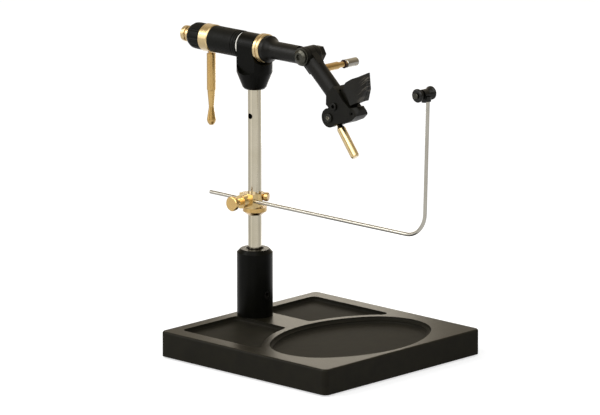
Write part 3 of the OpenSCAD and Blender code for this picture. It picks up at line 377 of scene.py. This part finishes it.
def placed(mesh, name, finish, body, node):
    """Turns a finished bmesh into a piece that rides its body and stands for its node."""
    data = bpy.data.meshes.new(name)
    mesh.to_mesh(data)
    mesh.free()
    piece = bpy.data.objects.new(name, data)
    data.materials.append(finish)
    bpy.context.scene.collection.objects.link(piece)
    smooth = piece.modifiers.new("even_shading", "WEIGHTED_NORMAL")
    smooth.keep_sharp = True
    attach(piece, body)
    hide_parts(node)


def merged(node):
    """A CAD node's mesh with its loose triangles joined and its flat faces made whole."""
    mesh = bmesh.new()
    mesh.from_mesh(NODES[node].data)
    bmesh.ops.remove_doubles(mesh, verts=mesh.verts, dist=SAME_POINT)
    bmesh.ops.dissolve_limit(mesh, angle_limit=math.radians(0.5), verts=mesh.verts,
                             edges=mesh.edges)
    return mesh


def softened(mesh, lines, width, segments):
    """Rounds off lines of a mesh over a width."""
    bmesh.ops.bevel(mesh, geom=lines, offset=width, segments=segments, profile=0.5,
                    affect="EDGES", clamp_overlap=True, material=-1)


def slim_bell(mesh):
    """Draws in the rim of the shaft's bell, so that the face of the ring behind it shows."""
    bell_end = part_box("nose_shaft")[0][0] + BELL_LENGTH
    axis_z = HEAD_AT[2]
    for vert in mesh.verts:
        radius = math.hypot(vert.co.y, vert.co.z - axis_z)
        if vert.co.x < bell_end and radius > SHAFT_RADIUS:
            share = (radius - SHAFT_RADIUS) / (BELL_RADIUS - SHAFT_RADIUS)
            keep = 1 - DRAWN_IN * share / radius
            vert.co = (vert.co.x, vert.co.y * keep, axis_z + (vert.co.z - axis_z) * keep)


def refined(node, finish, edge):
    """A clean copy of a CAD node with its sharp edges broken by edge mm."""
    mesh = merged(node)
    if node == "nose_shaft":
        slim_bell(mesh)
    if edge:
        sharp = [line for line in mesh.edges
                 if len(line.link_faces) == 2 and line.calc_face_angle(0) > SHARP_EDGE]
        softened(mesh, sharp, edge * MM, 2)
    shaded(mesh)
    placed(mesh, node + "_finished", finish, BODY_OF[node], node)


def middle_height(line):
    """The height of a line's middle."""
    return sum(vert.co.z for vert in line.verts) / 2


def is_floor_line(line):
    """Whether a level face and a wall meet in a hollow along this line of the wells."""
    if len(line.link_faces) != 2 or line.is_convex:
        return False
    wall, level = sorted(abs(face.normal.z) for face in line.link_faces)
    reach = max(max(abs(vert.co.x), abs(vert.co.y)) for vert in line.verts)
    height = middle_height(line)
    return (wall <= 0.1 and level >= 0.9 and reach < WELL_REACH
            and LOWEST_FLOOR < height < RIM_HEIGHT - 0.5 * MM)


def is_rim_line(line):
    """Whether a line is the top edge of a wall."""
    return (len(line.link_faces) == 2 and line.is_convex
            and abs(middle_height(line) - RIM_HEIGHT) < SAME_HEIGHT
            and line.calc_face_angle(0) > math.radians(60))


def cast_tray():
    """The tray as sand castings are: its rims are rounded off, and its floors run up the
    walls in a soft curve."""
    tray = merged("base_tray")
    softened(tray, [line for line in tray.edges if is_floor_line(line)], FLOOR_CURVE, 4)
    softened(tray, [line for line in tray.edges if is_rim_line(line)], RIM_CURVE, 3)
    shaded(tray)
    placed(tray, "cast_tray", powder_paint, BODY_OF["base_tray"], "base_tray")


cast_tray()
for node, (finish, edge) in DRESS.items():
    refined(node, finish, edge)

# What polished metal reflects. Soft boxes: where each stands, the cosines at its edge and at
# its full strength, and that strength.
SOFT_BOXES = (((0.35, -0.65, 0.67), 0.70, 0.90, 2.2), ((-0.67, -0.70, 0.23), 0.87, 0.97, 1.9))
# Soft boxes and dark flags round the vise: a bearing in degrees and the share of light there
FLAGS = ((-180, 0.35), (-138, 0.2), (-118, 0.6), (-99, 1.0), (-82, 0.3), (-66, 0.62),
         (0, 0.75), (22, 0.4), (54, 0.35), (80, 0.9), (150, 1.0), (180, 0.35))
# The share of light that the darkest flag leaves in the room's reflection
FLAG_SHADE = 0.45
# The direction behind and above the vise, where its reflection of the room is brightest, and
# the strengths away from there and towards it
BEHIND = (-0.60, 0.64, 0.48)
DIM, BRIGHT = 0.2, 0.75
# The room's plain light, and what the floor adds to be white in the picture
ROOM_LIGHT = 0.55
FLOOR_LIFT = 0.62

# Lamps: name, place, the point it is turned to, width, height, watts and colour. The last is
# a small card of warm light behind the tray.
WHITE = (1.0, 1.0, 1.0)
LAMPS = (
    ("key_lamp", (-0.9, -1.2, 1.3), (0.0, 0.0, 0.1), 0.9, 0.9, 16.0, WHITE),
    ("fill_lamp", (1.6, 0.2, 1.1), (0.0, 0.0, 0.1), 0.9, 0.9, 7.0, WHITE),
    ("front_box", (0.64, -1.41, 1.36), (0.0, 0.0, 0.15), 1.3, 0.9, 6.0, WHITE),
    ("back_card", (-0.25, 0.27, 0.105), (0.0, 0.0, 0.02), 0.14, 0.08, 0.14,
     (1.0, 0.92, 0.78)),
)


def ray_kinds(tree):
    """One for rays of the camera, and one for rays of the camera, of gloss and of glass."""
    path = add(tree, "ShaderNodeLightPath")
    camera_ray = path.outputs["Is Camera Ray"]
    seen = add(tree, "ShaderNodeMath", {0: camera_ray, 1: path.outputs["Is Glossy Ray"]},
               operation="MAXIMUM")
    seen = add(tree, "ShaderNodeMath",
               {0: seen.outputs[0], 1: path.outputs["Is Transmission Ray"]},
               operation="MAXIMUM")
    return camera_ray, seen.outputs[0]


def flag_shares(tree, x, y):
    """The share of light that comes from the bearing of a place or direction x, y."""
    bearing = add(tree, "ShaderNodeMath", {0: y, 1: x}, operation="ARCTAN2")
    round_once = add(tree, "ShaderNodeMapRange",
                     {"Value": bearing.outputs[0], "From Min": -math.pi, "From Max": math.pi})
    ramp = add(tree, "ShaderNodeValToRGB", {"Fac": round_once.outputs[0]})
    stops = ramp.color_ramp.elements
    for degrees, share in FLAGS[1:-1]:
        stops.new((degrees + 180) / 360).color = (share, share, share, 1.0)
    stops[0].color = stops[-1].color = [FLAGS[0][1]] * 3 + [1.0]
    return ramp.outputs[0]


def lay_floor():
    """A wide pale floor that the camera sees as white, with the object's faint shadow. In the
    gloss, dark flags stand on it round the stem, which reflects them as upright bands."""
    mesh = bmesh.new()
    bmesh.ops.create_grid(mesh, x_segments=1, y_segments=1, size=6.0)
    data = bpy.data.meshes.new("pale_floor")
    mesh.to_mesh(data)
    mesh.free()
    floor = bpy.data.objects.new("pale_floor", data)
    floor.location = (0.0, 0.0, -0.2 * MM)
    bpy.context.scene.collection.objects.link(floor)
    paper, tree, shader, place = start("white_paper_floor", 0.0, 0.9, "#c8c8c8")
    shader.inputs["Specular IOR Level"].default_value = 0.0
    camera_ray, seen = ray_kinds(tree)
    spot = add(tree, "ShaderNodeSeparateXYZ", {"Vector": place})
    from_stem = add(tree, "ShaderNodeMath", {0: spot.outputs["X"], 1: -STEM_AT[0]},
                    operation="ADD")
    shares = flag_shares(tree, from_stem.outputs[0], spot.outputs["Y"])
    lit = add(tree, "ShaderNodeMath", {0: shares, 1: camera_ray}, operation="MAXIMUM")
    seen_part = add(tree, "ShaderNodeMath", {0: seen, 1: lit.outputs[0]},
                    operation="MULTIPLY")
    lift = add(tree, "ShaderNodeMath", {0: seen_part.outputs[0], 1: FLOOR_LIFT},
               operation="MULTIPLY")
    tree.links.new(lift.outputs[0], shader.inputs["Emission Strength"])
    shader.inputs["Emission Color"].default_value = (1.0, 1.0, 1.0, 1.0)
    data.materials.append(paper)


def light_room():
    """A room that is plain and even for the light, and white to the camera. In the gloss it
    is white behind and above the vise and dim in front of it, with dark flags that give
    bright metal its upright streaks, and two soft boxes, one overhead in front and one low
    on the left, that give the round brass its broad pale bands."""
    world = bpy.data.worlds.new("soft_room")
    bpy.context.scene.world = world
    world.use_nodes = True
    tree = world.node_tree
    even = tree.nodes["Background"]
    even.inputs["Color"].default_value = (1.0, 1.0, 1.0, 1.0)
    even.inputs["Strength"].default_value = ROOM_LIGHT
    camera_ray, seen = ray_kinds(tree)
    direction = add(tree, "ShaderNodeTexCoord").outputs["Generated"]
    behind = add(tree, "ShaderNodeVectorMath", {0: direction, 1: BEHIND},
                 operation="DOT_PRODUCT")
    room = add(tree, "ShaderNodeMapRange",
               {"Value": behind.outputs["Value"], "From Min": -0.4, "From Max": 0.8,
                "To Min": DIM, "To Max": BRIGHT})
    parts = add(tree, "ShaderNodeSeparateXYZ", {"Vector": direction})
    shares = add(tree, "ShaderNodeMapRange",
                 {"Value": flag_shares(tree, parts.outputs["X"], parts.outputs["Y"]),
                  "To Min": FLAG_SHADE, "To Max": 1.0})
    boxed = add(tree, "ShaderNodeMath", {0: room.outputs[0], 1: shares.outputs[0]},
                operation="MULTIPLY")
    for towards, edge, middle, power in SOFT_BOXES:
        facing = add(tree, "ShaderNodeVectorMath", {0: direction, 1: towards},
                     operation="DOT_PRODUCT")
        box = add(tree, "ShaderNodeMapRange",
                  {"Value": facing.outputs["Value"], "From Min": edge, "From Max": middle,
                   "To Min": 0.0, "To Max": power})
        boxed = add(tree, "ShaderNodeMath", {0: boxed.outputs[0], 1: box.outputs[0]},
                    operation="MAXIMUM")
    strength = add(tree, "ShaderNodeMath", {0: boxed.outputs[0], 1: camera_ray},
                   operation="MAXIMUM")
    shown = add(tree, "ShaderNodeBackground", {"Strength": strength.outputs[0]})
    # The room's reflection is a little warm, and the boxes and the picture's ground are white
    inside_box = add(tree, "ShaderNodeMapRange",
                     {"Value": boxed.outputs[0], "From Min": 1.0, "From Max": 1.5})
    white = add(tree, "ShaderNodeMath", {0: camera_ray, 1: inside_box.outputs[0]},
                operation="MAXIMUM")
    tree.links.new(tint(tree, white.outputs[0], "#fff1d8", "#ffffff"), shown.inputs["Color"])
    mixed = add(tree, "ShaderNodeMixShader", {0: seen, 1: even.outputs[0],
                                              2: shown.outputs[0]})
    tree.links.new(mixed.outputs[0], tree.nodes["World Output"].inputs["Surface"])


def hang_lamp(name, place, aim, width, height, watts, colour):
    """A soft lamp at a place, turned to a point, that the camera doesn't see."""
    data = bpy.data.lights.new(name, "AREA")
    data.shape = "RECTANGLE"
    data.size = width
    data.size_y = height
    data.energy = watts
    data.color = colour
    lamp = bpy.data.objects.new(name, data)
    lamp.location = place
    lamp.rotation_euler = (Vector(aim) - Vector(place)).to_track_quat("-Z", "Y").to_euler()
    lamp.visible_camera = False
    bpy.context.scene.collection.objects.link(lamp)


lay_floor()
light_room()
for lamp_row in LAMPS:
    hang_lamp(*lamp_row)
